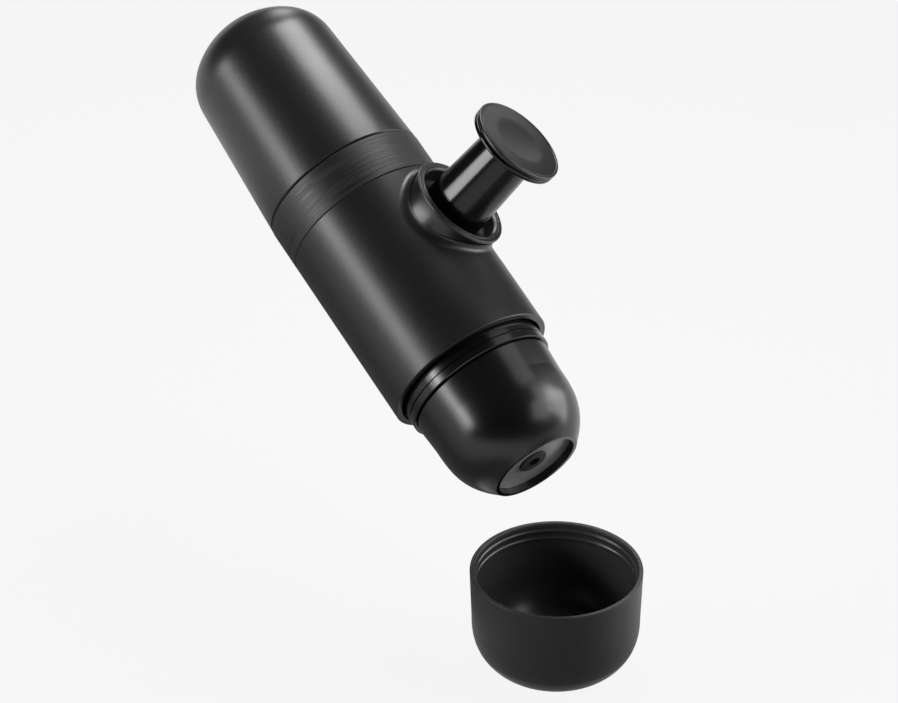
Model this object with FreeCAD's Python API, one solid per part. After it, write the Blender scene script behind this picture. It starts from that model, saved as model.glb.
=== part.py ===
"""Handheld manual espresso maker, held tilted over its cup as when it pours.

The maker is drawn upright about its own Z axis, with the barrel's lower rim at height 0, the
water tank above and the coffee outlet below. The pump lies across it, along +X. At the end
the whole maker is tilted and rolled about the grip, which becomes the origin, and the cup
stands upright below the outlet.
"""
import FreeCAD, Part
import math
import os

os.makedirs("parts", exist_ok=True)
V = FreeCAD.Vector

# How the maker is held
TILT = 62.3            # barrel's lean from upright, towards -X
ROLL = 27.5            # turn about its own axis, which swings the plunger towards +Y
GRIP_HEIGHT = 14.0     # middle of the hand's grip above the barrel's lower rim

# Clearances
SEAM = 0.3             # chamfer that draws a fine line where two outer pieces meet
PART_GAP = 0.4         # between two pieces that screw apart
LOOSE = 0.3            # radial, round a piece that lifts out
RUNNING = 0.1          # radial, round a piece that slides or turns
FIXED = 0.1            # radial, round a piece that is glued or pressed in
PAST = 1.0             # how far a cutting tool runs past a face

# Barrel and the ring above it
BODY_R = 30.0
BODY_WALL = 2.2
BODY_H = 66.9
RIM_ROUND = 0.8
BAND_H = 15.7
BAND_WALL = 4.1
BAND_SPIGOT_H = 1.4
LEDGE_WIDTH = 2.7
LEDGE_H = 2.0

# Side collar that the pump plunger comes out of
PUMP_BELOW_TOP = 20.2  # pump's axis below the barrel's top edge
COLLAR_R = 17.7
COLLAR_WAIST = 0.4
COLLAR_BORE_R = 14.9
COLLAR_PROUD = 4.1     # collar's face beyond the barrel's side
LIP_H = 1.4
LIP_OVERHANG = 0.4
LIP_ROUND = 0.35
HOLE_ROUND = 0.6

# Water tank
TANK_H = 73.5
TANK_TAPER = 3.1       # radial, from the tank's foot to where its dome starts
TANK_DOME_H = 21.5
TANK_CORNER_R = 18.0
TANK_WALL = 2.0
TANK_FOOT_ROUND = 0.5
TANK_SPIGOT_H = 11.0
TANK_SPIGOT_WALL = 2.0
SEAL_H = 0.9
DECK_SEAL_H = 0.8

# Inner frame
DECK_H = 3.0
FOOT_PLATE_Z = 9.0
FOOT_PLATE_H = 3.0
HOUSING_WALL = 2.0
COLUMN_R = 5.5
RIB_WALL = 2.0
RIB_INSET = 2.5
PASSAGE_R = 1.4
PORT = (-14.6, 0.0)
VENT = (9.0, 18.0)

# Valves and the strainer over the inlet
VALVE_R = 3.0
VALVE_FLANGE_H = 1.3
VALVE_STEM_R = 2.0
VALVE_STEM_H = 4.2
VALVE_SLIT_R = 0.5
STRAINER_R = 5.6
STRAINER_H = 3.2
STRAINER_WALL = 0.6
STRAINER_HOLE_R = 0.7
STRAINER_ROWS = ((6, 0.5),)

# Pump
BORE_R = 8.0
CYLINDER_WALL = 1.2
CYLINDER_INSET = 4.5   # cylinder's closed end inside the barrel's far side
CYLINDER_END_WALL = 1.5
CYLINDER_DEEP = 12.7   # cylinder's open end behind the collar's face
GLAND_H = 2.0
PISTON_H = 4.5
PISTON_SKIN = 0.1
RING_GROOVE = 1.2
STEM_R = 3.0
STEM_ROOM = 0.3
STROKE = 28.3
SPRING_WIRE = 1.1
SPRING_TURNS = 8
SPRING_R = 6.4

# Plunger
ROD_R = 11.4
ROD_TIP_R = 10.3
ROD_INNER_R = 9.6
ROD_TIP_INNER_R = 8.6
ROD_INSIDE = 18.1      # rod's inner end behind the collar's face
ROD_GUIDED = 15.0
ROD_DEEP = 37.0
KNOB_R = 17.1
KNOB_FLANGE_H = 1.6
KNOB_GROOVE = 0.2
KNOB_CAP_H = 1.7
KNOB_ROUND = 0.35
KNOB_SPIGOT_H = 6.0
HUB_FLOOR = 2.7
RIM_LINE = 0.9
RIM_GROOVE_W = 0.6
RIM_GROOVE_H = 0.4
DISH_R = 9.0
DISH_H = 0.9
SCREW_HEAD_R = 3.4
SCREW_HEAD_H = 1.3
SCREW_HEAD_DEEP = 0.1
SCREW_R = 1.4
SCREW_L = 10.0
BUSH_L = 5.0
WIPER_H = 1.5
WIPER_LIP = 1.0
RECESS_IN_COLLAR = 5.6

# Neck that the cup screws on, with its two ridges
NECK_STEP = 3.0        # radial, from the barrel in to the neck
NECK_SHOW = 6.95
NECK_WALL = 2.1
NECK_SINK = 0.5
RIDGE_H = 2.4
RIDGE_GROOVE = 0.4
NECK_FLANGE_H = 3.0
FLANGE_SCREW_R = 1.15
FLANGE_HEAD_R = 1.9
FLANGE_HEAD_H = 1.5
FLANGE_SCREW_L = 7.2
FLANGE_SCREWS = 6
SCREW_INSET = 4.3

# Brewing parts
SCREEN_INSET = 8.4
SCREEN_WALL = 0.6
SCREEN_H = 4.4
SCREEN_HOLE_R = 1.0
SCREEN_ROWS = ((6, 0.35), (10, 0.7))    # holes on each circle, and its share of the radius
GASKET_WIDTH = 1.7
GASKET_H = 1.5
BASKET_INSET = 7.4
BASKET_TAPER = 0.9
BASKET_DEPTH = 15.0
BASKET_WALL = 0.5
BASKET_RIM = 1.4
BASKET_RIM_H = 0.8
BASKET_HOLE_R = 0.9
BASKET_ROWS = ((6, 0.3), (10, 0.55), (14, 0.8))
HOLDER_WALL = 2.4
HOLDER_FLOOR = 1.5
HOLDER_BORE = 12.0

# Outlet head
HEAD_STEP = 1.0        # radial, from the neck in to the head
HEAD_TAPER = 0.6
HEAD_BREAK_Z = -17.4
HEAD_TIP_Z = -42.2
LIP_R = 16.1
HEAD_FULLNESS = 3.15    # how square the shoulder is: 2 would be an ellipse
HEAD_SHOULDER = 1.1
LIP_WALL = 1.3
RECESS_H = 2.7
HEAD_SPIGOT_H = 3.0
HEAD_SPIGOT_WALL = 1.7
FUNNEL_TIP_R = 4.0
FUNNEL_H = 23.9
FUNNEL_FULLNESS = 2.0
FUNNEL_SHOULDER = 0.8
NOZZLE_R = 5.2
NOZZLE_LIP = 0.8
NOZZLE_SHANK_R = 3.6
NOZZLE_SHANK_H = 4.0
NOZZLE_BORE_R = 2.3

# Cup, and where it stands below the outlet
CUP_STEP = 0.2
CUP_H = 38.7
CUP_TAPER = 0.7
CUP_BOWL_H = 19.6
CUP_BASE_R = 15.4
CUP_FULLNESS = 2.535
CUP_SHOULDER = 0.642
CUP_WALL = 1.9
CUP_FLOOR = 2.2
CUP_RIM_ROUND = 0.6
CUP_FOOT_W = 2.0
CUP_FOOT_H = 0.5
CUP_AHEAD = 6.5
CUP_ASIDE = 4.0
CUP_BELOW = 40.0

CURVE_STEPS = 8

# Places that follow from the sizes above
band_top = BODY_H + BAND_H
band_bore = BODY_R - BAND_WALL
inner_r = BODY_R - BODY_WALL
tank_dome_r = BODY_R - TANK_TAPER
pump_height = BODY_H - PUMP_BELOW_TOP
collar_top = BODY_R + COLLAR_PROUD
deck_top = BODY_H - BAND_SPIGOT_H - DECK_SEAL_H
deck_z = deck_top - DECK_H
frame_r = inner_r - LOOSE
rib_reach = frame_r - RIB_INSET
cylinder_r = BORE_R + CYLINDER_WALL
housing_bore = ROD_R + LOOSE * 2
housing_r = housing_bore + HOUSING_WALL
collar_back = collar_top - RECESS_IN_COLLAR - WIPER_H - BUSH_L
cylinder_back = CYLINDER_INSET - BODY_R
cylinder_front = collar_top - CYLINDER_DEEP
rod_back = collar_top - ROD_INSIDE
cylinder_bottom = cylinder_back + CYLINDER_END_WALL
piston_front = cylinder_front - LOOSE * 2
piston_back = piston_front - PISTON_H
knob_under = collar_top + PART_GAP + STROKE
knob_top = knob_under + KNOB_FLANGE_H + KNOB_GROOVE
stem_tip = knob_under - HUB_FLOOR - STEM_ROOM
screw_seat = knob_under + KNOB_FLANGE_H - SCREW_HEAD_DEEP - SCREW_HEAD_H
neck_r = BODY_R - NECK_STEP
screw_circle_r = neck_r - SCREW_INSET
screen_r = neck_r - SCREEN_INSET
basket_r = neck_r - BASKET_INSET
flange_z = FOOT_PLATE_Z - NECK_FLANGE_H
gasket_r = screen_r + FIXED
head_r = neck_r - HEAD_STEP
head_break_r = head_r - HEAD_TAPER
head_top_z = -NECK_SHOW - PART_GAP
head_spigot_r = neck_r - NECK_WALL - LOOSE
head_bore = head_spigot_r - HEAD_SPIGOT_WALL
basket_top = flange_z - GASKET_H - LOOSE
holder_top = basket_top - BASKET_RIM_H
holder_r = head_bore - LOOSE
basket_bottom = basket_top - BASKET_DEPTH
holder_bottom = basket_bottom - HOLDER_FLOOR
funnel_top = holder_bottom - LOOSE
recess_z = HEAD_TIP_Z + RECESS_H
cup_r = BODY_R - CUP_STEP
cup_low_r = cup_r - CUP_TAPER


def turned(*corners):
    """Solid of revolution about Z from (radius, height) corners."""
    points = [V(r, 0, z) for r, z in corners]
    wire = Part.makePolygon(points + points[:1])
    return Part.Face(wire).revolve(V(0, 0, 0), V(0, 0, 1), 360)


def turned_wire(edges):
    """Solid of revolution about Z from the edges of a closed outline."""
    wire = Part.Wire(Part.__sortEdges__(edges))
    return Part.Face(wire).revolve(V(0, 0, 0), V(0, 0, 1), 360)


def ring(inner, outer, low, high):
    return turned((inner, low), (outer, low), (outer, high), (inner, high))


def rod(radius, low, high, x=0.0, y=0.0):
    return Part.makeCylinder(radius, high - low, V(x, y, low))


def line(a, b):
    return Part.LineSegment(V(a[0], 0, a[1]), V(b[0], 0, b[1])).toShape()


def polyline(*corners):
    return [line(a, b) for a, b in zip(corners, corners[1:])]


def bowl_curve(r_wide, z_wide, r_tip, z_tip, fullness, shoulder):
    """Rounded shoulder from a wide circle in to a narrow one, fuller than an ellipse."""
    points = []
    for i in range(CURVE_STEPS + 1):
        u = math.sin(math.pi / 2 * i / CURVE_STEPS)
        radius = r_tip + (r_wide - r_tip) * max(0.0, 1 - u ** fullness) ** shoulder
        points.append(V(radius, 0, z_wide + (z_tip - z_wide) * u))
    curve = Part.BSplineCurve()
    curve.interpolate(points)
    return curve.toShape()


def across(shape):
    """Turns a pump piece, drawn about Z, so that its Z runs out along the collar."""
    shape.rotate(V(0, 0, 0), V(0, 1, 0), 90)
    shape.translate(V(0, 0, pump_height))
    return shape


def around(count, radius, shape):
    """Copies of a shape on a circle about Z."""
    copies = []
    for i in range(count):
        copy = shape.copy()
        copy.translate(V(radius, 0, 0))
        copy.rotate(V(0, 0, 0), V(0, 0, 1), 360.0 * i / count)
        copies.append(copy)
    return copies


def hole_rows(radius, low, high, outer_r, rows):
    """A middle hole and circles of holes: rows lists (count, share of the outer radius)."""
    holes = [rod(radius, low, high)]
    for count, share in rows:
        holes += around(count, outer_r * share, rod(radius, low, high))
    return holes


# Water tank: a tapering wall that runs smoothly into a domed end
def arc(centre, radius, first, last):
    """Arc in the drawing plane, from one angle to another about a centre."""
    points = []
    for angle in (first, (first + last) / 2, last):
        points.append(V(centre[0] + radius * math.cos(angle), 0, centre[1] + radius * math.sin(angle)))
    return Part.Arc(*points).toShape()


def tank_side(inset, low):
    """Edges from the tank's foot, up the tapering wall, round the corner and over the crown."""
    base = band_top + PART_GAP + TANK_H - TANK_DOME_H
    centre = (tank_dome_r - TANK_CORNER_R, base)
    spread = tank_dome_r ** 2 + TANK_DOME_H ** 2 - 2 * tank_dome_r * TANK_CORNER_R
    crown_r = spread / (2 * (TANK_DOME_H - TANK_CORNER_R))
    crown = (0, base + TANK_DOME_H - crown_r)
    corner_r = TANK_CORNER_R - inset
    away = (low[0] - centre[0], low[1] - centre[1])
    touch = math.atan2(away[1], away[0]) + math.acos(corner_r / math.hypot(*away))
    join = math.atan2(centre[1] - crown[1], centre[0])
    foot = (centre[0] + corner_r * math.cos(touch), centre[1] + corner_r * math.sin(touch))
    return [line(low, foot), arc(centre, corner_r, touch, join),
            arc(crown, crown_r - inset, join, math.pi / 2)]


def water_tank():
    foot_z = band_top + PART_GAP
    spigot_r = band_bore - LOOSE
    spigot_z = foot_z - TANK_SPIGOT_H
    mouth = spigot_r - TANK_SPIGOT_WALL
    crown = band_top + PART_GAP + TANK_H
    low = (BODY_R - SEAM / 2, foot_z + TANK_FOOT_ROUND)
    shoulder = (mouth, foot_z + BAND_WALL)
    edges = tank_side(0.0, low)
    edges += tank_side(TANK_WALL, (BODY_R - TANK_WALL, foot_z + BAND_WALL * 2))
    edges += polyline((0, crown), (0, crown - TANK_WALL))
    edges += polyline(low, (low[0] - TANK_FOOT_ROUND, foot_z), (spigot_r, foot_z),
                      (spigot_r, spigot_z + SEAM), (spigot_r - SEAM, spigot_z), (mouth, spigot_z),
                      shoulder, (BODY_R - TANK_WALL, foot_z + BAND_WALL * 2))
    return turned_wire(edges)


def tank_seal():
    top = band_top + PART_GAP - TANK_SPIGOT_H - LOOSE
    low = top - SEAL_H
    return ring(band_bore - LEDGE_WIDTH + SEAM, band_bore - FIXED, low, top)


# Barrel with the hole for the side collar, and the ring above it
def body_shell():
    tube = turned((inner_r, 0), (BODY_R - RIM_ROUND, 0), (BODY_R, RIM_ROUND),
                  (BODY_R, BODY_H - SEAM), (BODY_R - SEAM, BODY_H), (inner_r, BODY_H))
    shell = tube.cut(across(rod(COLLAR_R + FIXED, 0, BODY_R * 2)))
    outer_edge = [edge for edge in shell.Edges if on_hole_edge(edge)]
    return shell.makeFillet(HOLE_ROUND, outer_edge)


def on_hole_edge(edge):
    """The outer edge of the collar's hole: every point lies on the hole and on the barrel."""
    first, last = edge.ParameterRange
    for share in (0.1, 0.37, 0.71):
        point = edge.valueAt(first + (last - first) * share)
        off_barrel = abs(math.hypot(point.x, point.y) - BODY_R)
        off_hole = abs(math.hypot(point.y, point.z - pump_height) - COLLAR_R - FIXED)
        if max(off_barrel, off_hole) > 0.01:
            return False
    return True


def top_band():
    spigot_z = BODY_H - BAND_SPIGOT_H
    edge = BODY_R - SEAM
    return turned((band_bore, spigot_z), (inner_r - FIXED, spigot_z), (inner_r - FIXED, BODY_H),
                  (edge, BODY_H), (BODY_R, BODY_H + SEAM), (BODY_R, band_top - SEAM),
                  (edge, band_top), (band_bore, band_top), (band_bore, seal_seat()),
                  (band_bore - LEDGE_WIDTH, seal_seat()),
                  (band_bore - LEDGE_WIDTH, seal_seat() - LEDGE_H),
                  (band_bore, seal_seat() - LEDGE_H))


def seal_seat():
    """Height of the ledge inside the ring, which the tank's seal lies on."""
    return band_top + PART_GAP - TANK_SPIGOT_H - LOOSE - SEAL_H


def deck_seal():
    return ring(band_bore, inner_r - FIXED, deck_top, BODY_H - BAND_SPIGOT_H)


def boss_collar():
    """Tube with a slight waist under its lip, drawn about Z and laid along the pump."""
    waist = COLLAR_R - COLLAR_WAIST
    root = math.sqrt(BODY_R ** 2 - COLLAR_R ** 2)
    lip_low = collar_top - LIP_H
    lip_r = COLLAR_R + LIP_OVERHANG
    middle = (root + lip_low) / 2
    edges = [Part.Arc(V(COLLAR_R, 0, root), V(waist, 0, middle),
                      V(COLLAR_R, 0, lip_low)).toShape()]
    edges += polyline((COLLAR_R, lip_low), (lip_r, lip_low + LIP_ROUND),
                      (lip_r, collar_top - LIP_ROUND), (lip_r - LIP_ROUND, collar_top),
                      (COLLAR_BORE_R + LIP_ROUND * 2, collar_top),
                      (COLLAR_BORE_R, collar_top - LIP_ROUND * 2), (COLLAR_BORE_R, collar_back),
                      (COLLAR_R, collar_back), (COLLAR_R, root))
    return across(turned_wire(edges))


# Inner frame: two round plates, a cross housing for the pump and the water passages
def pump_chassis():
    deck = rod(frame_r, deck_z, deck_top)
    plate = rod(frame_r, FOOT_PLATE_Z, FOOT_PLATE_Z + FOOT_PLATE_H)
    column = rod(COLUMN_R, FOOT_PLATE_Z, deck_top, *PORT)
    housing = across(rod(housing_r, -frame_r, collar_back))
    frame = deck.fuse([plate, column, housing] + chassis_ribs())
    frame = frame.common(rod(frame_r, 0, BODY_H))
    collar_room = across(rod(COLLAR_R + FIXED, collar_back, BODY_R))
    back_bore = across(rod(cylinder_r + FIXED, cylinder_back, collar_back))
    rod_room = across(rod(housing_bore, rod_back - STROKE - LOOSE * 2, collar_back))
    rooms = [collar_room, back_bore, rod_room, rod(PASSAGE_R, FOOT_PLATE_Z, deck_top, *PORT),
             rod(PASSAGE_R, deck_z, deck_top, *VENT), valve_room(PORT, deck_top, -1),
             valve_room(VENT, deck_top, -1), valve_room(PORT, FOOT_PLATE_Z, 1)]
    pilot = rod(FLANGE_SCREW_R, FOOT_PLATE_Z, FOOT_PLATE_Z + FOOT_PLATE_H)
    return frame.cut(rooms + around(FLANGE_SCREWS, screw_circle_r, pilot))


def chassis_ribs():
    """Upright webs from plate to deck, beside the pump and in line with it."""
    height = deck_top - FOOT_PLATE_Z
    half = RIB_WALL / 2
    beside = Part.makeBox(RIB_WALL, rib_reach * 2, height, V(-half, -rib_reach, FOOT_PLATE_Z))
    in_line = Part.makeBox(rib_reach * 2, RIB_WALL, height, V(-rib_reach, -half, FOOT_PLATE_Z))
    return [beside, in_line]


# Valves: soft plugs with a flange and a tapering hollow stem
def at_seat(shape, place, seat, way):
    """Puts a valve, drawn with its flange at 0, at its seat; way is 1 for up and -1 for down."""
    if way < 0:
        shape.rotate(V(0, 0, 0), V(1, 0, 0), 180)
    shape.translate(V(*place, seat))
    return shape


def valve_room(place, seat, way):
    flange = rod(VALVE_R + FIXED, 0, VALVE_FLANGE_H)
    stem = rod(VALVE_STEM_R + FIXED, 0, VALVE_FLANGE_H + VALVE_STEM_H)
    return at_seat(flange.fuse(stem), place, seat, way)


def valve(place, seat, way):
    tip = VALVE_STEM_R / 2
    end = VALVE_FLANGE_H + VALVE_STEM_H
    plug = turned((VALVE_SLIT_R, 0), (VALVE_R, 0), (VALVE_R, VALVE_FLANGE_H),
                  (VALVE_STEM_R, VALVE_FLANGE_H), (tip, end), (VALVE_SLIT_R, end))
    return at_seat(plug, place, seat, way)


def inlet_valve():
    return valve(PORT, deck_top, -1)


def vent_valve():
    return valve(VENT, deck_top, -1)


def outlet_valve():
    return valve(PORT, FOOT_PLATE_Z, 1)


# Mesh cap over the pump's inlet
def inlet_strainer():
    inner = STRAINER_R - STRAINER_WALL
    rim = STRAINER_R + STRAINER_WALL
    cap = turned((inner, 0), (rim, 0), (rim, STRAINER_WALL), (STRAINER_R, STRAINER_WALL),
                 (STRAINER_R, STRAINER_H), (0, STRAINER_H), (0, STRAINER_H - STRAINER_WALL),
                 (inner, STRAINER_H - STRAINER_WALL))
    low = STRAINER_WALL * 2
    cap = cap.cut(hole_rows(STRAINER_HOLE_R, low, STRAINER_H, STRAINER_R, STRAINER_ROWS))
    cap.translate(V(*PORT, deck_top))
    return cap


# Pump
def pump_cylinder():
    tube = turned((0, cylinder_back), (cylinder_r, cylinder_back), (cylinder_r, cylinder_front),
                  (BORE_R, cylinder_front), (BORE_R, cylinder_bottom), (0, cylinder_bottom))
    return across(tube).cut(rod(PASSAGE_R, pump_height - BODY_R, pump_height + BODY_R, *PORT))


def cylinder_gland():
    front = cylinder_front + GLAND_H
    return across(ring(STEM_R + RUNNING, cylinder_r, cylinder_front, front))


def piston_head():
    skin = BORE_R - PISTON_SKIN
    middle = (piston_back + piston_front) / 2
    groove = skin - RING_GROOVE
    half = RING_GROOVE / 2
    return across(turned((0, piston_back), (skin, piston_back), (skin, middle - half),
                         (groove, middle - half), (groove, middle + half), (skin, middle + half),
                         (skin, piston_front), (STEM_R, piston_front), (STEM_R, middle),
                         (0, middle)))


def piston_ring():
    middle = (piston_back + piston_front) / 2
    half = RING_GROOVE / 2 - FIXED / 2
    inner = BORE_R - PISTON_SKIN - RING_GROOVE
    return across(ring(inner, BORE_R - PISTON_SKIN / 2, middle - half, middle + half))


def piston_stem():
    middle = (piston_back + piston_front) / 2
    bore = SCREW_R + RUNNING
    deep = screw_seat - SCREW_L - STEM_ROOM
    return across(turned((0, middle), (STEM_R, middle), (STEM_R, stem_tip), (bore, stem_tip),
                         (bore, deep), (0, deep)))


def return_spring():
    """One wire wound round the pump's axis, in half-turn arcs that climb a little each."""
    low = cylinder_bottom + SPRING_WIRE / 2 + FIXED
    high = piston_back - SPRING_WIRE / 2 - LOOSE
    halves = SPRING_TURNS * 2
    climb = (high - low) / halves
    path = []
    for i in range(halves):
        side = 1 if i % 2 == 0 else -1
        start = V(side * SPRING_R, 0, low + climb * i)
        middle = V(0, side * SPRING_R, low + climb * (i + 0.5))
        end = V(-side * SPRING_R, 0, low + climb * (i + 1))
        path.append(Part.Arc(start, middle, end).toShape())
    wire = Part.Wire(path)
    tangent = path[0].tangentAt(path[0].FirstParameter)
    circle = Part.Circle(path[0].valueAt(path[0].FirstParameter), tangent, SPRING_WIRE / 2)
    section = Part.Wire(circle.toShape())
    coil = wire.makePipeShell([section], True, False)
    print("spring: gap between turns", round(climb * 2 - SPRING_WIRE, 3))
    return across(coil)


# Plunger: a tapering tube, a flange and a dished cap held by one screw
def plunger_rod():
    straight = rod_back + ROD_GUIDED
    deep = rod_back + ROD_DEEP
    return across(turned((ROD_INNER_R, rod_back), (ROD_R, rod_back), (ROD_R, straight),
                         (ROD_TIP_R, knob_under), (ROD_TIP_INNER_R, knob_under),
                         (ROD_TIP_INNER_R, deep), (ROD_INNER_R, deep)))


def plunger_knob():
    spigot_r = ROD_TIP_INNER_R - FIXED
    spigot_z = knob_under - KNOB_SPIGOT_H
    pocket = STEM_R + RUNNING
    top = knob_under + KNOB_FLANGE_H
    edge = KNOB_R - KNOB_ROUND
    flange = turned((pocket, spigot_z), (spigot_r, spigot_z), (spigot_r, knob_under),
                    (edge, knob_under), (KNOB_R, knob_under + KNOB_ROUND),
                    (KNOB_R, top - KNOB_ROUND), (edge, top), (0, top),
                    (0, stem_tip + STEM_ROOM), (pocket, stem_tip + STEM_ROOM))
    flange = flange.cut(rod(SCREW_R + FIXED, stem_tip, top))
    return across(flange.cut(rod(SCREW_HEAD_R + FIXED, screw_seat, top)))


def knob_cap():
    low = knob_under + KNOB_FLANGE_H
    top = knob_top + KNOB_CAP_H
    edge = KNOB_R - KNOB_ROUND
    hub = edge - RIM_LINE
    groove_out = KNOB_R - RIM_LINE
    groove_in = groove_out - RIM_GROOVE_W
    cap = turned((0, low), (hub, low), (hub, knob_top), (edge, knob_top),
                 (KNOB_R, knob_top + KNOB_ROUND), (KNOB_R, top - KNOB_ROUND), (edge, top),
                 (groove_out, top), (groove_out, top - RIM_GROOVE_H),
                 (groove_in, top - RIM_GROOVE_H), (groove_in, top), (0, top))
    ball_r = (DISH_R ** 2 + DISH_H ** 2) / (2 * DISH_H)
    return across(cap.cut(Part.makeSphere(ball_r, V(0, 0, top - DISH_H + ball_r))))


def knob_screw():
    head = screw_seat + SCREW_HEAD_H
    tip = screw_seat - SCREW_L
    return across(turned((0, head), (SCREW_HEAD_R, head), (SCREW_HEAD_R, screw_seat),
                         (SCREW_R, screw_seat), (SCREW_R, tip), (0, tip)))


def guide_bush():
    return across(ring(ROD_R + RUNNING, COLLAR_BORE_R - FIXED, collar_back, collar_back + BUSH_L))


def rod_wiper():
    low = collar_back + BUSH_L
    return across(turned((ROD_R + RUNNING, low), (COLLAR_BORE_R - FIXED, low),
                         (COLLAR_BORE_R - FIXED, low + WIPER_H),
                         (COLLAR_BORE_R - WIPER_LIP, low + WIPER_H),
                         (ROD_R + WIPER_LIP, low + WIPER_H / 2),
                         (ROD_R + RUNNING, low + WIPER_H)))


# Neck ring, and the screws that hold it to the inner frame
def neck_ring():
    inner = neck_r - NECK_WALL
    seat = gasket_r
    tip = -NECK_SHOW
    sunk = neck_r - NECK_SINK
    upper = tip + SEAM + RIDGE_H
    ring_body = turned((inner, tip), (neck_r - SEAM, tip), (neck_r, tip + SEAM), (neck_r, upper),
                       (sunk, upper + SEAM / 2), (sunk, upper + RIDGE_GROOVE),
                       (neck_r, upper + RIDGE_GROOVE + SEAM / 2),
                       (neck_r, upper + RIDGE_GROOVE + RIDGE_H - SEAM),
                       (sunk, upper + RIDGE_GROOVE + RIDGE_H), (sunk, flange_z),
                       (frame_r, flange_z), (frame_r, FOOT_PLATE_Z), (seat, FOOT_PLATE_Z),
                       (seat, flange_z), (inner, flange_z))
    hole = rod(FLANGE_SCREW_R + FIXED, flange_z - PAST, FOOT_PLATE_Z + PAST)
    return ring_body.cut(around(FLANGE_SCREWS, screw_circle_r, hole))


def chassis_screws():
    low = flange_z - FLANGE_HEAD_H
    shank = FLANGE_SCREW_R - FIXED / 2
    screw = turned((0, low), (FLANGE_HEAD_R, low), (FLANGE_HEAD_R, flange_z), (shank, flange_z),
                   (shank, low + FLANGE_SCREW_L), (0, low + FLANGE_SCREW_L))
    return Part.makeCompound(around(FLANGE_SCREWS, screw_circle_r, screw))


# Brewing parts
def shower_screen():
    top = FOOT_PLATE_Z
    low = top - SCREEN_H
    inner = screen_r - SCREEN_WALL
    pan = turned((0, low), (screen_r, low), (screen_r, top), (inner, top),
                 (inner, low + SCREEN_WALL), (0, low + SCREEN_WALL))
    return pan.cut(hole_rows(SCREEN_HOLE_R, low - PAST, low + PAST, screen_r, SCREEN_ROWS))


def brew_gasket():
    return ring(gasket_r, gasket_r + GASKET_WIDTH, flange_z - GASKET_H, flange_z)


def filter_basket():
    low = basket_bottom
    wide = basket_r
    narrow = basket_r - BASKET_TAPER
    rim = basket_r + BASKET_RIM
    basket = turned((0, low), (narrow, low), (wide, holder_top), (rim, holder_top),
                    (rim, basket_top), (wide - BASKET_WALL, basket_top),
                    (narrow - BASKET_WALL, low + BASKET_WALL), (0, low + BASKET_WALL))
    return basket.cut(hole_rows(BASKET_HOLE_R, low - PAST, low + PAST, narrow, BASKET_ROWS))


def basket_holder():
    floor_top = basket_bottom
    inner = holder_r - HOLDER_WALL
    return turned((HOLDER_BORE, holder_bottom), (holder_r, holder_bottom), (holder_r, holder_top),
                  (inner, holder_top), (inner, floor_top), (HOLDER_BORE, floor_top))


# Outlet head: a domed cap with a sunk face, a funnel inside and a ring insert
def outlet_head():
    spigot_top = HEAD_SPIGOT_H
    funnel_low = funnel_top - FUNNEL_H
    start = (head_break_r, HEAD_BREAK_Z)
    lip = (LIP_R, HEAD_TIP_Z)
    edges = polyline((head_bore, spigot_top), (head_spigot_r, spigot_top),
                     (head_spigot_r, head_top_z), (head_r - SEAM, head_top_z),
                     (head_r, head_top_z - SEAM), start)
    edges.append(bowl_curve(*start, *lip, HEAD_FULLNESS, HEAD_SHOULDER))
    edges += polyline(lip, (LIP_R - LIP_WALL, HEAD_TIP_Z), (LIP_R - LIP_WALL, recess_z),
                      (NOZZLE_SHANK_R + FIXED, recess_z), (NOZZLE_SHANK_R + FIXED, funnel_low),
                      (FUNNEL_TIP_R, funnel_low))
    edges.append(bowl_curve(head_bore, funnel_top, FUNNEL_TIP_R, funnel_low,
                            FUNNEL_FULLNESS, FUNNEL_SHOULDER))
    edges.append(line((head_bore, funnel_top), (head_bore, spigot_top)))
    return turned_wire(edges)


def outlet_nozzle():
    low = recess_z - NOZZLE_LIP
    return turned((NOZZLE_BORE_R, recess_z + NOZZLE_SHANK_H), (NOZZLE_BORE_R, low),
                  (NOZZLE_R - SEAM, low), (NOZZLE_R, low + SEAM), (NOZZLE_R, recess_z),
                  (NOZZLE_SHANK_R, recess_z), (NOZZLE_SHANK_R, recess_z + NOZZLE_SHANK_H))


# Cup: straight wall over a rounded bowl, on a narrow foot ring
def cup():
    """Drawn upright, with its foot at height 0."""
    mouth = cup_r - CUP_WALL
    base = CUP_BASE_R
    foot = CUP_BASE_R - CUP_FOOT_W
    edges = [line((cup_r, CUP_H - CUP_RIM_ROUND), (cup_low_r, CUP_BOWL_H))]
    edges.append(bowl_curve(cup_low_r, CUP_BOWL_H, base, 0, CUP_FULLNESS, CUP_SHOULDER))
    edges += polyline((base, 0), (foot, 0), (foot, CUP_FOOT_H), (0, CUP_FOOT_H),
                      (0, CUP_FLOOR + CUP_FOOT_H), (base - CUP_WALL, CUP_FLOOR + CUP_FOOT_H))
    edges.append(bowl_curve(cup_low_r - CUP_WALL, CUP_BOWL_H, base - CUP_WALL,
                            CUP_FLOOR + CUP_FOOT_H, CUP_FULLNESS, CUP_SHOULDER))
    edges += polyline((cup_low_r - CUP_WALL, CUP_BOWL_H), (mouth, CUP_H - CUP_RIM_ROUND),
                      (mouth + CUP_RIM_ROUND, CUP_H), (cup_r - CUP_RIM_ROUND, CUP_H),
                      (cup_r, CUP_H - CUP_RIM_ROUND))
    return turned_wire(edges)


MAKER = [water_tank, tank_seal, top_band, deck_seal, body_shell, boss_collar, guide_bush, rod_wiper,
         pump_chassis, inlet_strainer, inlet_valve, vent_valve, outlet_valve, pump_cylinder,
         cylinder_gland, return_spring, piston_head, piston_ring, piston_stem, plunger_rod,
         plunger_knob, knob_cap, knob_screw, neck_ring, chassis_screws, shower_screen,
         brew_gasket, filter_basket, basket_holder, outlet_head, outlet_nozzle]

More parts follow.
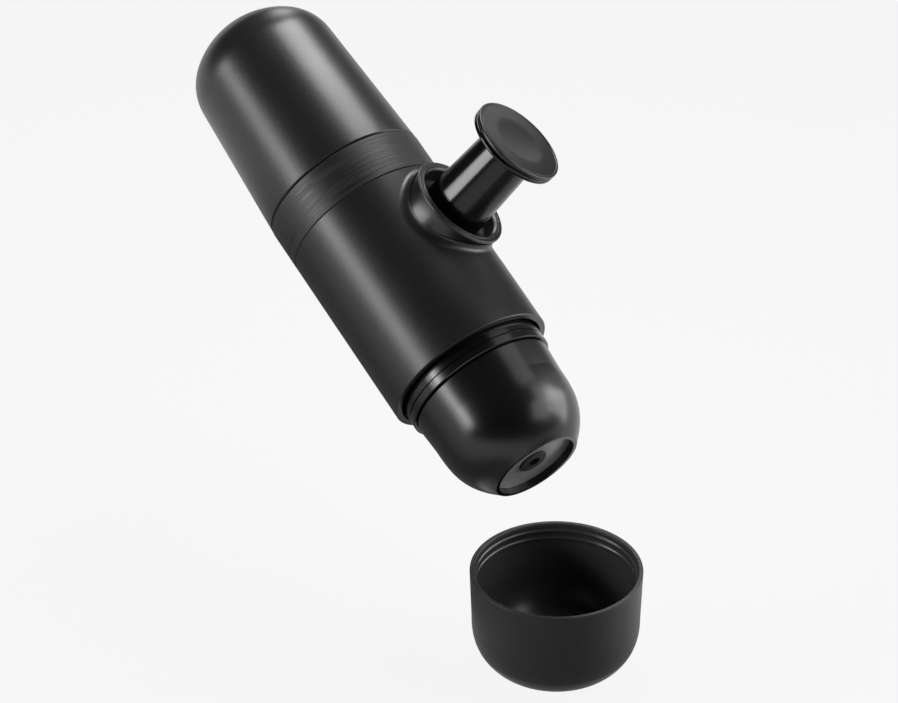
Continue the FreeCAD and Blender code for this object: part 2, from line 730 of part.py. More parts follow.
held = FreeCAD.Placement(V(0, 0, 0), FreeCAD.Rotation(V(0, -1, 0), TILT))
held = held * FreeCAD.Placement(V(0, 0, 0), FreeCAD.Rotation(V(0, 0, 1), ROLL))
held = held * FreeCAD.Placement(V(0, 0, -GRIP_HEIGHT), FreeCAD.Rotation())

outlet = held.multVec(V(0, 0, HEAD_TIP_Z))
cup_place = V(outlet.x + CUP_AHEAD, outlet.y + CUP_ASIDE, outlet.z - CUP_BELOW - CUP_H)


def keep(name, shape):
    solids = shape.Solids
    closed = all(solid.isValid() and solid.isClosed() for solid in solids)
    box = shape.BoundBox
    print(f"{name}: {len(solids)} solid, valid {closed}, {shape.Volume:.1f} mm3,",
          f"{box.XLength:.1f} x {box.YLength:.1f} x {box.ZLength:.1f} mm")
    shape.exportStep(f"parts/{name}.step")


for make in MAKER:
    piece = make()
    keep(make.__name__, piece.transformed(held.toMatrix()))

stood = cup()
stood.translate(cup_place)
keep("cup", stood)
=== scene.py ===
import bpy
import bmesh
from math import atan2, cos, pi, radians, sin, sqrt
from mathutils import Matrix, Vector


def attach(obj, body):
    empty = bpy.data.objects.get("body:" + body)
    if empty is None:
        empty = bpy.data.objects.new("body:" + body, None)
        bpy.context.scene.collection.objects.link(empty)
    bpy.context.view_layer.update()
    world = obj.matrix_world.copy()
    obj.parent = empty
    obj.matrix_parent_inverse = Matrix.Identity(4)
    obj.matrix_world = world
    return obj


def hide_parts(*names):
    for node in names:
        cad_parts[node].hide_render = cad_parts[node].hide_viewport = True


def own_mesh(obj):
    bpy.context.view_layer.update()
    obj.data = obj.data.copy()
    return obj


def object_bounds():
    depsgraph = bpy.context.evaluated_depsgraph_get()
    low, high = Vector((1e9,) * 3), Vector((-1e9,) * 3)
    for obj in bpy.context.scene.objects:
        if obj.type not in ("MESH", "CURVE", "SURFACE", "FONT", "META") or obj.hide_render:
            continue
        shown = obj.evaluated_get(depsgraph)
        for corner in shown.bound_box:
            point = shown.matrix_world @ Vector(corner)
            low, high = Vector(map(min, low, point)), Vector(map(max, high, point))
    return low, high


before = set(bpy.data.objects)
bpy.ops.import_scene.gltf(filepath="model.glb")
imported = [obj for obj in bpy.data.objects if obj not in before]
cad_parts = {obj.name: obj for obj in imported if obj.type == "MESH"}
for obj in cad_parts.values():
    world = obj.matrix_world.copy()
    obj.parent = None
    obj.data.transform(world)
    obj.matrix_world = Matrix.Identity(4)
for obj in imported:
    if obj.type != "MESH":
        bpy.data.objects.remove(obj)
cad_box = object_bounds()


# Inner frame: one moulding in grey glass-filled nylon that carries the pump and the water
# passages. It is pushed up into the barrel from below and is seen only with pieces taken off.
# The maker is drawn upright about Z, and HELD is the tilt and roll at which it is held.
TILT, ROLL = 62.3, 27.5
GRIP_HEIGHT = 0.014
HELD = (Matrix.Rotation(radians(-TILT), 4, "Y") @ Matrix.Rotation(radians(ROLL), 4, "Z")
        @ Matrix.Translation((0, 0, -GRIP_HEIGHT)))
CLOUDS_PER_METRE = 70
FLECKS_PER_METRE = 900
FLECK_EDGE, FLECK_CORE = 0.22, 0.05
LINE_LOW, LINE_HIGH = 0.34, 0.66
LINE_FLATNESS = 34


def moulded(name, colour, roughness, grain, depth, specks=0.0, lines=None):
    """Moulded plastic. grain and depth are the width and height of its spark-eroded dimples in
    metres, specks the strength of pale flecks, lines the frame and spacing of turning marks."""
    material = bpy.data.materials.new(name)
    material.use_nodes = True
    nodes, links = material.node_tree.nodes, material.node_tree.links
    shader = nodes["Principled BSDF"]
    place = nodes.new("ShaderNodeTexCoord").outputs["Object"]

    cloud = nodes.new("ShaderNodeTexNoise")
    cloud.inputs["Scale"].default_value = CLOUDS_PER_METRE
    cloud.inputs["Detail"].default_value = 4
    links.new(place, cloud.inputs["Vector"])
    uneven = cloud.outputs["Fac"]
    spread = 0.14
    if lines:
        spread = 0.28
        turn, spacing = lines
        marks = nodes.new("ShaderNodeMapping")
        marks.vector_type = "TEXTURE"
        marks.inputs["Location"].default_value = turn.translation
        marks.inputs["Rotation"].default_value = turn.to_euler()
        marks.inputs["Scale"].default_value = (0.03, 0.03, spacing)
        links.new(place, marks.inputs["Vector"])
        streaks = nodes.new("ShaderNodeTexNoise")
        streaks.inputs["Scale"].default_value = 1
        streaks.inputs["Detail"].default_value = 3
        links.new(marks.outputs[0], streaks.inputs["Vector"])
        sharper = nodes.new("ShaderNodeMapRange")
        sharper.inputs["From Min"].default_value = LINE_LOW
        sharper.inputs["From Max"].default_value = LINE_HIGH
        links.new(streaks.outputs["Fac"], sharper.inputs["Value"])
        uneven = sharper.outputs["Result"]
    tint = nodes.new("ShaderNodeMix")
    tint.data_type = "RGBA"
    tint.inputs["A"].default_value = (*(c * (1 - spread) for c in colour), 1)
    tint.inputs["B"].default_value = (*(c * (1 + spread) for c in colour), 1)
    links.new(uneven, tint.inputs["Factor"])
    paint = tint.outputs["Result"]
    if specks:
        dots = nodes.new("ShaderNodeTexVoronoi")
        dots.inputs["Scale"].default_value = FLECKS_PER_METRE
        links.new(place, dots.inputs["Vector"])
        fleck = nodes.new("ShaderNodeMapRange")
        fleck.inputs["From Min"].default_value = FLECK_EDGE
        fleck.inputs["From Max"].default_value = FLECK_CORE
        links.new(dots.outputs["Distance"], fleck.inputs["Value"])
        pale = nodes.new("ShaderNodeMix")
        pale.data_type = "RGBA"
        pale.inputs["B"].default_value = (*(c * (1 + specks) for c in colour), 1)
        links.new(fleck.outputs["Result"], pale.inputs["Factor"])
        links.new(paint, pale.inputs["A"])
        paint = pale.outputs["Result"]
    links.new(paint, shader.inputs["Base Color"])
    shine = nodes.new("ShaderNodeMapRange")
    shine.inputs["To Min"].default_value = roughness * (1 - spread / 2)
    shine.inputs["To Max"].default_value = roughness * (1 + spread / 2)
    links.new(uneven, shine.inputs["Value"])
    links.new(shine.outputs["Result"], shader.inputs["Roughness"])

    dimples = nodes.new("ShaderNodeTexNoise")
    dimples.inputs["Scale"].default_value = 1 / grain
    dimples.inputs["Detail"].default_value = 2
    links.new(place, dimples.inputs["Vector"])
    bump = nodes.new("ShaderNodeBump")
    bump.inputs["Distance"].default_value = depth
    links.new(dimples.outputs["Fac"], bump.inputs["Height"])
    if lines:
        ridges = nodes.new("ShaderNodeBump")
        ridges.inputs["Distance"].default_value = spacing / LINE_FLATNESS
        links.new(uneven, ridges.inputs["Height"])
        links.new(ridges.outputs["Normal"], bump.inputs["Normal"])
    links.new(bump.outputs["Normal"], shader.inputs["Normal"])
    return material


def dress(material, *nodes):
    """Gives the CAD nodes' own meshes a finish."""
    for node in nodes:
        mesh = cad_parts[node].data
        mesh.materials.clear()
        mesh.materials.append(material)


dress(moulded("frame_grey", (0.055, 0.056, 0.058), 0.5, 0.0005, 0.00001), "pump_chassis")


# Seals and valves: soft parts moulded in grey silicone. The rings are squeezed between the pieces
# that they seal, and the valves are pressed into their seats by hand.
silicone = moulded("seal_grey", (0.11, 0.11, 0.115), 0.6, 0.0003, 0.000006)
dress(silicone, "inlet_valve", "vent_valve", "outlet_valve", "tank_seal", "deck_seal",
      "piston_ring", "brew_gasket")


# Pump cylinder and stem: drawn stainless steel, with fine lines along the draw. The cylinder
# lies across the barrel, so its pieces are drawn about Z and laid along the pump by ACROSS.
PUMP_HEIGHT = 46.7
ACROSS = HELD @ Matrix.Translation((0, 0, PUMP_HEIGHT / 1000)) @ Matrix.Rotation(radians(90), 4, "Y")
STEEL_DARK = (0.48, 0.475, 0.465, 1)
STEEL_PALE = (0.66, 0.655, 0.64, 1)
DRAWN_LINE_DEPTH = 0.000004


def drawn_steel(name, turn, grain, roughness):
    """Stainless steel; grain is how far its fine lines run along x, y and z of a frame."""
    material = bpy.data.materials.new(name)
    material.use_nodes = True
    nodes, links = material.node_tree.nodes, material.node_tree.links
    shader = nodes["Principled BSDF"]
    shader.inputs["Metallic"].default_value = 1.0
    place = nodes.new("ShaderNodeTexCoord").outputs["Object"]
    along = nodes.new("ShaderNodeMapping")
    along.vector_type = "TEXTURE"
    along.inputs["Location"].default_value = turn.translation
    along.inputs["Rotation"].default_value = turn.to_euler()
    along.inputs["Scale"].default_value = grain
    links.new(place, along.inputs["Vector"])
    lines = nodes.new("ShaderNodeTexNoise")
    lines.inputs["Scale"].default_value = 1
    lines.inputs["Detail"].default_value = 3
    links.new(along.outputs[0], lines.inputs["Vector"])
    tint = nodes.new("ShaderNodeMix")
    tint.data_type = "RGBA"
    tint.inputs["A"].default_value = STEEL_DARK
    tint.inputs["B"].default_value = STEEL_PALE
    links.new(lines.outputs["Fac"], tint.inputs["Factor"])
    links.new(tint.outputs["Result"], shader.inputs["Base Color"])
    shine = nodes.new("ShaderNodeMapRange")
    shine.inputs["To Min"].default_value = roughness * 0.7
    shine.inputs["To Max"].default_value = roughness * 1.3
    links.new(lines.outputs["Fac"], shine.inputs["Value"])
    links.new(shine.outputs["Result"], shader.inputs["Roughness"])
    bump = nodes.new("ShaderNodeBump")
    bump.inputs["Distance"].default_value = DRAWN_LINE_DEPTH
    links.new(lines.outputs["Fac"], bump.inputs["Height"])
    links.new(bump.outputs["Normal"], shader.inputs["Normal"])
    return material


dress(drawn_steel("steel_drawn", ACROSS, (0.0001, 0.0001, 0.02), 0.28), "pump_cylinder", "piston_stem")


# Gland, piston and guide bush: turned from white low-friction plastic. The gland keeps the piston
# in the cylinder, and the bush guides the plunger in the side collar.
bush_white = moulded("bush_white", (0.44, 0.44, 0.42), 0.42, 0.0006, 0.000004)
dress(bush_white, "cylinder_gland", "piston_head", "guide_bush")


# Return spring: 1.1 mm spring wire wound in eight turns between the cylinder's closed end and
# the piston, ends cut off square. It shortens towards the closed end as the piston goes in.
WIRE_R = 0.00055
COIL_R = 0.0064
COIL_LOW, COIL_HIGH = -0.02335, 0.01545
COIL_TURNS = 8
STEPS_PER_TURN = 32
WIRE_SIDES = 10
SHARP_ANGLE = 32


def finish_piece(name, bm, place, node, body, slot, *materials, even=True):
    """Puts a drawn mesh in place and lets it stand for a CAD node; even keeps flat faces flat."""
    bmesh.ops.transform(bm, matrix=place, verts=bm.verts)
    mesh = bpy.data.meshes.new(name)
    bm.to_mesh(mesh)
    bm.free()
    mesh.shade_smooth()
    mesh.set_sharp_from_angle(angle=radians(SHARP_ANGLE))
    for material in materials:
        mesh.materials.append(material)
    made = bpy.data.objects.new(name, mesh)
    bpy.context.scene.collection.objects.link(made)
    if even:
        made.modifiers.new("flat_faces", "WEIGHTED_NORMAL").keep_sharp = True
    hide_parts(node)
    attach(made, body)
    return made


bm = bmesh.new()
wire_start = Matrix.Translation((COIL_R, 0, COIL_LOW)) @ Matrix.Rotation(radians(90), 4, "X")
bmesh.ops.create_circle(bm, segments=WIRE_SIDES, radius=WIRE_R, matrix=wire_start)
climb = (COIL_HIGH - COIL_LOW) / (COIL_TURNS * STEPS_PER_TURN)
bmesh.ops.spin(bm, geom=bm.verts[:] + bm.edges[:], cent=(0, 0, 0), axis=(0, 0, 1), dvec=(0, 0, climb),
               angle=2 * pi * COIL_TURNS, steps=COIL_TURNS * STEPS_PER_TURN)
bmesh.ops.holes_fill(bm, edges=[e for e in bm.edges if e.is_boundary])
bmesh.ops.recalc_face_normals(bm, faces=bm.faces)
spring_wire = drawn_steel("spring_wire", ACROSS, (0.002, 0.002, 0.0001), 0.3)
spring = finish_piece("spring", bm, ACROSS, "return_spring", "maker", "steel", spring_wire,
                      even=False)
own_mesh(spring)


# Inlet strainer, frame screws, shower screen and knob screw: stainless steel. The screws are
# turned, and the strainer and the screen are pressed from sheet.
steel_pressed = drawn_steel("steel_pressed", HELD, (0.0002, 0.004, 0.0002), 0.3)
dress(steel_pressed, "inlet_strainer", "chassis_screws", "shower_screen", "knob_screw")


# Barrel: one black moulding with a fine satin grain. Round the side collar it swells out in a
# hollow corner, its lower rim is rounded, and a small chamfer draws the line under the band.
BARREL_R, BARREL_BORE, BARREL_H = 30.0, 27.8, 66.9
BARREL_CHAMFER = 0.3
BARREL_RIM = 0.45
PLAIN_TOP = 13.0
HOLE_R = 17.75
HOLLOW = 2.1
HOLLOW_STEPS = 9
WINDOW_COLUMNS = 17
WINDOW_ROWS = 30
COLUMNS = 144
WALL_REACH = 0.1
ROUND_REACH = 0.01


def outlined(bm, corners, closed):
    """Outline in the XZ plane from (radius, height, round) corners in millimetres."""
    verts = [bm.verts.new((r / 1000, 0, z / 1000)) for r, z, _ in corners]
    for a, b in zip(verts, verts[1:] + verts[:1] if closed else verts[1:]):
        bm.edges.new((a, b))
    for vert, (_, _, soft) in zip(verts, corners):
        if soft:
            bmesh.ops.bevel(bm, geom=[vert], offset=soft / 1000, offset_type="OFFSET", segments=5,
                            profile=0.5, affect="VERTICES", material=-1)


def spun(bm, steps):
    """Spins everything in the mesh about Z, closed on itself."""
    bmesh.ops.spin(bm, geom=bm.verts[:] + bm.edges[:], cent=(0, 0, 0), axis=(0, 0, 1), dvec=(0, 0, 0),
                   angle=2 * pi, steps=steps, use_merge=True)
    bmesh.ops.remove_doubles(bm, verts=bm.verts, dist=1e-6)
    bmesh.ops.recalc_face_normals(bm, faces=bm.faces)


def on_barrel(radius, around, bore, lift):
    """Point on the hole's rings: radius and angle about the pump's axis, lifted off the barrel."""
    y = radius * sin(around)
    x = sqrt(bore ** 2 - y ** 2) + lift
    return Vector((x, y, PUMP_HEIGHT + radius * cos(around))) / 1000


bm = bmesh.new()
window_low = PUMP_HEIGHT * 2 - BARREL_H + BARREL_CHAMFER
window_high = BARREL_H - BARREL_CHAMFER
row = (window_high - window_low) / WINDOW_ROWS
rows = [window_low + row * i for i in range(WINDOW_ROWS + 1)]
corners = [(BARREL_R, PLAIN_TOP, 0)] + [(BARREL_R, z, 0) for z in rows]
corners += [(BARREL_R - BARREL_CHAMFER, BARREL_H, 0), (BARREL_BORE, BARREL_H, 0)]
corners += [(BARREL_BORE, z, 0) for z in reversed(rows)]
corners += [(BARREL_BORE, 0, 0), (BARREL_R, 0, BARREL_RIM)]
outlined(bm, corners, closed=True)
spun(bm, COLUMNS)
half_window = radians(360 / COLUMNS * WINDOW_COLUMNS)
window = []
for face in bm.faces:
    middle = face.calc_center_median() * 1000
    turn = atan2(middle.y, middle.x)
    off_axis = sqrt(middle.x ** 2 + middle.y ** 2)
    wall = min(abs(off_axis - BARREL_R), abs(off_axis - BARREL_BORE)) < WALL_REACH
    if wall and abs(turn) < half_window and window_low < middle.z < window_high:
        window.append(face)
bmesh.ops.delete(bm, geom=window, context="FACES")
edges_out, edges_in = [], []
for edge in bm.edges:
    if edge.is_boundary:
        off_axis = edge.verts[0].co.xy.length * 1000
        (edges_out if off_axis > (BARREL_R + BARREL_BORE) / 2 else edges_in).append(edge)
ring_steps = 2 * (2 * WINDOW_COLUMNS + WINDOW_ROWS)
rings = []
profile = [(HOLE_R + HOLLOW * (1 - sin(a)), HOLLOW * (1 - cos(a)), BARREL_R)
           for a in (radians(90) * i / HOLLOW_STEPS for i in range(HOLLOW_STEPS + 1))]
for radius, lift, bore in profile + [(HOLE_R, 0, BARREL_BORE)]:
    ring = [bm.verts.new(on_barrel(radius, 2 * pi * i / ring_steps, bore, lift))
            for i in range(ring_steps)]
    rings.append([bm.edges.new((a, b)) for a, b in zip(ring, ring[1:] + ring[:1])])
for first, second in zip([edges_out] + rings, rings + [edges_in]):
    bmesh.ops.bridge_loops(bm, edges=first + second)
bmesh.ops.recalc_face_normals(bm, faces=bm.faces)
satin_black = moulded("satin_black", (0.0145, 0.0145, 0.0152), 0.36, 0.0005, 0.000008)
barrel = finish_piece("barrel", bm, Matrix.Identity(4), "body_shell", "maker", "satin_black",
                      satin_black, even=False)
mesh = barrel.data
normals = [Vector(n.vector) for n in mesh.corner_normals]
for polygon in mesh.polygons:
    for corner in polygon.loop_indices:
        spot = mesh.vertices[mesh.loops[corner].vertex_index].co * 1000
        away = sqrt(spot.y ** 2 + (spot.z - PUMP_HEIGHT) ** 2)
        round_face = abs(spot.xy.length - BARREL_R) < ROUND_REACH and abs(polygon.normal.z) < 0.2
        if round_face and (spot.x < 0 or away > HOLE_R + HOLLOW - ROUND_REACH):
            normals[corner] = Vector((spot.x, spot.y, 0)).normalized()
mesh.normals_split_custom_set(normals)
mesh.transform(HELD)


# Side collar: a short tube pressed and glued into the barrel, with a faint waist and a thin
# overhanging lip. A fine step runs round the lip, its mouth is bevelled, and its bore is dull and
# painted darker than the rest as painted shade inside it.
COLLAR_COLUMNS = 160
COLLAR_BORE_REACH = 0.0153
bm = bmesh.new()
outlined(bm, [(17.7, 20.9, 0), (17.7, 25.0, 0), (17.45, 27.5, 0), (17.36, 29.4, 0), (17.45, 31.3, 0),
              (17.62, 32.7, 0.15), (18.1, 32.85, 0.3), (18.1, 33.42, 0.05), (17.98, 33.5, 0.03),
              (17.98, 33.6, 0.03), (18.06, 33.66, 0.05), (18.02, 34.1, 0.3), (16.7, 34.1, 0.08),
              (16.62, 33.98, 0.04), (16.4, 33.98, 0.04), (16.32, 34.1, 0.08), (15.75, 34.1, 0.25),
              (14.9, 33.2, 0.3), (14.9, 20.9, 0)], closed=True)
spun(bm, COLLAR_COLUMNS)
for face in bm.faces:
    face.material_index = 1 if face.calc_center_median().xy.length < COLLAR_BORE_REACH else 0
collar_black = moulded("collar_black", (0.013, 0.013, 0.0137), 0.3, 0.0006, 0.000005)
# Painted shade: the bore and inner bevel get a darker colour for the shade inside the collar.
collar_bore_shade = moulded("collar_bore_shade", (0.005, 0.005, 0.0052), 0.55, 0.0006, 0.000005)
finish_piece("collar", bm, ACROSS, "boss_collar", "maker", "gloss_black", collar_black, collar_bore_shade)
dress(moulded("wiper_black", (0.008, 0.008, 0.0082), 0.6, 0.0003, 0.000004), "rod_wiper")


# Plunger: a tapering tube of polished black plastic, drawn in CAD. The knob's flange is glued
# into its end and shows as the lower of two rounded edges.
gloss_black = moulded("gloss_black", (0.004, 0.004, 0.0043), 0.17, 0.004, 0.000003)
gloss_black.node_tree.nodes["Principled BSDF"].inputs["Specular IOR Level"].default_value = 0.38
dress(gloss_black, "plunger_rod")
bm = bmesh.new()
outlined(bm, [(3.1, 56.8, 0), (8.5, 56.8, 0.2), (8.5, 62.8, 0), (10.35, 62.8, 0.1), (16.85, 62.8, 0.35),
              (17.1, 63.7, 0.45), (16.8, 64.4, 0.25), (3.5, 64.4, 0), (3.5, 63.0, 0), (1.5, 63.0, 0),
              (1.5, 60.2, 0), (3.1, 60.2, 0)], closed=True)
spun(bm, COLUMNS)
finish_piece("knob_flange", bm, ACROSS, "plunger_knob", "plunger", "gloss_black", gloss_black)


# Knob cap: the dished face that the thumb presses. It snaps over the flange and leaves a fine
# dark line between the two. A raised edge runs round the face, and the dish fades in softly.
CAP_TOP = 66.3
FACE_TOP = 66.24
DISH_R, DISH_SOFT, DISH_DEEP = 9.6, 1.6, 1.1
DISH_STEPS = 17
DISH_SHOULDER = 0.02
bm = bmesh.new()
dish = []
for i in range(DISH_STEPS):
    radius = (DISH_R + DISH_SOFT) * (1 - i / DISH_STEPS)
    bowl_deep = DISH_DEEP * (1 - (radius / DISH_R) ** 2)
    # A rounded shoulder, where the bowl would meet the flat at an angle
    deep = (bowl_deep + sqrt(bowl_deep ** 2 + DISH_SHOULDER)) / 2
    dish.append((radius, FACE_TOP - deep, 0))
outlined(bm, [(0, 64.4, 0), (16.2, 64.4, 0), (16.2, 64.72, 0), (16.85, 64.72, 0.15), (17.1, 65.3, 0.25),
              (17.05, CAP_TOP, 0.4), (16.3, CAP_TOP, 0.12), (16.1, 66.1, 0.1), (15.8, 66.1, 0.1),
              (15.5, FACE_TOP, 0.15)]
         + dish + [(0, FACE_TOP - DISH_DEEP, 0)], closed=False)
spun(bm, COLUMNS)
knob_black = moulded("knob_black", (0.006, 0.006, 0.0063), 0.36, 0.0005, 0.000008)
finish_piece("knob_face", bm, ACROSS, "knob_cap", "plunger", "satin_black", knob_black)


# Band above the barrel: turned on its outside, so fine lines run round it. It is glued to the
# barrel's top and carries the thread that the tank screws into.
dress(moulded("band_black", (0.015, 0.015, 0.0157), 0.46, 0.0005, 0.000006, lines=(HELD, 0.0011)),
      "top_band")


# Water tank: one deep moulding, tapering to its domed end, with a slightly coarser grain than
# the barrel's and faint pale flecks.
dress(moulded("tank_black", (0.0155, 0.0155, 0.0162), 0.36, 0.0008, 0.00003, specks=1.2), "water_tank")


# Neck: glossy black moulding with the two ridges that the cup screws on. Six screws hold it to
# the inner frame.
neck_black = moulded("neck_black", (0.008, 0.008, 0.0085), 0.2, 0.003, 0.000003)
dress(neck_black, "neck_ring")


# Basket: pressed steel with a perforated floor for the ground coffee. It is held in a glossy
# black ring that goes into the outlet head.
dress(steel_pressed, "filter_basket")
dress(gloss_black, "basket_holder")


# Outlet head: thick black moulding, slightly less glossy than the neck. Its sunk end face is
# painted paler than the rest: a painted reflection of the pale floor that it mirrors. A dull
# black ring is pressed into the middle.
head_black = moulded("head_black", (0.009, 0.009, 0.0095), 0.26, 0.0008, 0.000004)
FACE_HEIGHT = -0.0395
FACE_R = 0.0149
FACE_REACH = 0.0001
# Painted reflection: the sunk face's pale colour stands in for the floor mirrored in it.
FACE_PAINTED_REFLECTION = (0.3, 0.3, 0.312, 1)
FACE_ROUGHNESS = 0.24
nodes, links = head_black.node_tree.nodes, head_black.node_tree.links
shader = nodes["Principled BSDF"]
upright = nodes.new("ShaderNodeMapping")
upright.vector_type = "TEXTURE"
upright.inputs["Location"].default_value = HELD.translation
upright.inputs["Rotation"].default_value = HELD.to_euler()
links.new(nodes.new("ShaderNodeTexCoord").outputs["Object"], upright.inputs["Vector"])
split = nodes.new("ShaderNodeSeparateXYZ")
links.new(upright.outputs[0], split.inputs[0])
at_height = nodes.new("ShaderNodeMath")
at_height.operation = "COMPARE"
at_height.inputs[1].default_value = FACE_HEIGHT
at_height.inputs[2].default_value = FACE_REACH
links.new(split.outputs["Z"], at_height.inputs[0])
flat = nodes.new("ShaderNodeVectorMath")
flat.operation = "MULTIPLY"
flat.inputs[1].default_value = (1, 1, 0)
links.new(upright.outputs[0], flat.inputs[0])
out = nodes.new("ShaderNodeVectorMath")
out.operation = "LENGTH"
links.new(flat.outputs[0], out.inputs[0])
within = nodes.new("ShaderNodeMath")
within.operation = "LESS_THAN"
within.inputs[1].default_value = FACE_R
links.new(out.outputs["Value"], within.inputs[0])
on_face = nodes.new("ShaderNodeMath")
on_face.operation = "MULTIPLY"
links.new(at_height.outputs[0], on_face.inputs[0])
links.new(within.outputs[0], on_face.inputs[1])
for socket, kind, face_value in (("Base Color", "RGBA", FACE_PAINTED_REFLECTION),
                                 ("Roughness", "FLOAT", FACE_ROUGHNESS)):
    change = nodes.new("ShaderNodeMix")
    change.data_type = kind
    elsewhere, on_the_face = [s for s in change.inputs if s.enabled and s.name in "AB"]
    links.new(shader.inputs[socket].links[0].from_socket, elsewhere)
    on_the_face.default_value = face_value
    links.new(on_face.outputs[0], change.inputs["Factor"])
    result = [s for s in change.outputs if s.enabled][0]
    links.new(result, shader.inputs[socket])
dress(head_black, "outlet_head")
dress(moulded("nozzle_black", (0.004, 0.004, 0.0042), 0.55, 0.0005, 0.000004), "outlet_nozzle")


# Cup: one charcoal moulding, matt with a fine grain outside and smoother inside, where it is
# painted paler than outside as painted light in its shaded bowl. Two ridges of its thread run
# round inside the mouth, the rim is rounded, and it stands on a narrow foot ring.
CUP_PLACE = Matrix.Translation((0.05626, 0.0040, -0.10482))
CUP_H, CUP_BOWL_H = 38.7, 19.6
CUP_INNER_R, CUP_FLOOR = 27.2, 2.7
CUP_FULLNESS, CUP_SHOULDER = 2.535, 0.642
CUP_COLUMNS = 160


def bowl(r_wide, z_wide, r_tip, z_tip, steps=22):
    """Rounded shoulder of the cup, fuller than an ellipse, as (radius, height, round) corners."""
    curve = []
    for i in range(steps + 1):
        u = sin(pi / 2 * i / steps)
        curve.append((r_tip + (r_wide - r_tip) * max(0, 1 - u ** CUP_FULLNESS) ** CUP_SHOULDER,
                      z_wide + (z_tip - z_wide) * u, 0))
    return curve


bm = bmesh.new()
outlined(bm, [(0, 0.5, 0), (13.4, 0.5, 0.15), (13.4, 0.0, 0.2)]
         + bowl(29.1, CUP_BOWL_H, 15.4, 0.0)[::-1]
         + [(29.8, 38.2, 0.0), (29.75, CUP_H, 0.35), (28.3, CUP_H, 0.45), (27.95, 37.6, 0.3),
            (27.93, 36.6, 0.2), (27.45, 36.1, 0.2), (27.45, 35.5, 0.2), (27.9, 35.0, 0.2),
            (27.85, 33.6, 0.2), (27.4, 33.1, 0.2), (27.4, 32.5, 0.2), (27.75, 32.0, 0.2)]
         + bowl(CUP_INNER_R, CUP_BOWL_H, 13.5, CUP_FLOOR) + [(0, CUP_FLOOR, 0)], closed=False)
spun(bm, CUP_COLUMNS)
for face in bm.faces:
    middle = face.calc_center_median() * 1000
    inner_r = CUP_INNER_R + 0.04 * (middle.z - CUP_BOWL_H) + 0.5
    inside = middle.z > 2.6 and middle.xy.length < inner_r
    face.material_index = 1 if inside and middle.z < 38.2 else 0
cup_black = moulded("cup_black", (0.028, 0.028, 0.0294), 0.5, 0.0004, 0.000012)
# Painted light: the inside's colour is paler than the outside's to stand in for light in the shaded
# bowl.
cup_inside_painted_light = moulded("cup_inside_painted_light", (0.045, 0.045, 0.0468), 0.28, 0.003, 0.000003)
finish_piece("cup_body", bm, CUP_PLACE, "cup", "cup", "satin_black", cup_black, cup_inside_painted_light)


# Stage, not part of the object. The floor is near white and runs on to the horizon. The studio
# behind it is dark, though the camera sees it as pale as the floor.
FLOOR_SIZE = 30.0
PALE = 0.92


def floor_paint(name, colour, shown, own_light):
    """Matt paint that bounces light at its colour. The camera and reflections see a paler share
    of that light, shown, on top of an even brightness of its own, so that shadows stay faint."""
    material = bpy.data.materials.new(name)
    material.use_nodes = True
    nodes, links = material.node_tree.nodes, material.node_tree.links
    shader = nodes["Principled BSDF"]
    shader.inputs["Roughness"].default_value = 0.9
    shader.inputs["Specular IOR Level"].default_value = 0.0
    path = nodes.new("ShaderNodeLightPath")
    seen = nodes.new("ShaderNodeMath")
    seen.operation = "MAXIMUM"
    links.new(path.outputs["Is Camera Ray"], seen.inputs[0])
    links.new(path.outputs["Is Glossy Ray"], seen.inputs[1])
    through = nodes.new("ShaderNodeMath")
    through.operation = "MAXIMUM"
    links.new(seen.outputs[0], through.inputs[0])
    links.new(path.outputs["Is Transmission Ray"], through.inputs[1])
    strength = nodes.new("ShaderNodeMath")
    strength.operation = "MULTIPLY"
    strength.inputs[1].default_value = own_light
    links.new(through.outputs[0], strength.inputs[0])
    shader.inputs["Emission Color"].default_value = (1, 1, 1, 1)
    links.new(strength.outputs[0], shader.inputs["Emission Strength"])
    paint = nodes.new("ShaderNodeMix")
    paint.data_type = "RGBA"
    paint.inputs["A"].default_value = (colour, colour, colour, 1)
    paint.inputs["B"].default_value = (shown, shown, shown, 1)
    links.new(through.outputs[0], paint.inputs["Factor"])
    links.new(paint.outputs["Result"], shader.inputs["Base Color"])
    return material


bm = bmesh.new()
bmesh.ops.create_grid(bm, x_segments=1, y_segments=1, size=FLOOR_SIZE / 2)
bmesh.ops.translate(bm, verts=bm.verts, vec=(0, 0, cad_box[0][2]))
mesh = bpy.data.meshes.new("floor")
bm.to_mesh(mesh)
bm.free()
mesh.materials.append(floor_paint("floor_white", colour=0.5, shown=0.05, own_light=0.89))
floor = bpy.data.objects.new("floor", mesh)
bpy.context.scene.collection.objects.link(floor)

# Grey cards, as a studio sets them to keep undersides dark. Only reflections see them, and they
# fade out at their edges. A trough lies below the barrel and head, and the side card on their other
# side. The floor card lies in front of the cup, and the back card stands behind the plunger.
CAMERA_ROUND, CAMERA_DOWN = 53.58, 31.8
camera_turn = (Matrix.Rotation(radians(CAMERA_ROUND), 4, "Z")
               @ Matrix.Rotation(radians(90 - CAMERA_DOWN), 4, "X"))
axis = HELD.to_3x3() @ Vector((0, 0, 1))
to_camera = camera_turn.to_3x3() @ Vector((0, 0, 1))
facing = (to_camera - axis * to_camera.dot(axis)).normalized()
leftwards = facing.cross(axis)


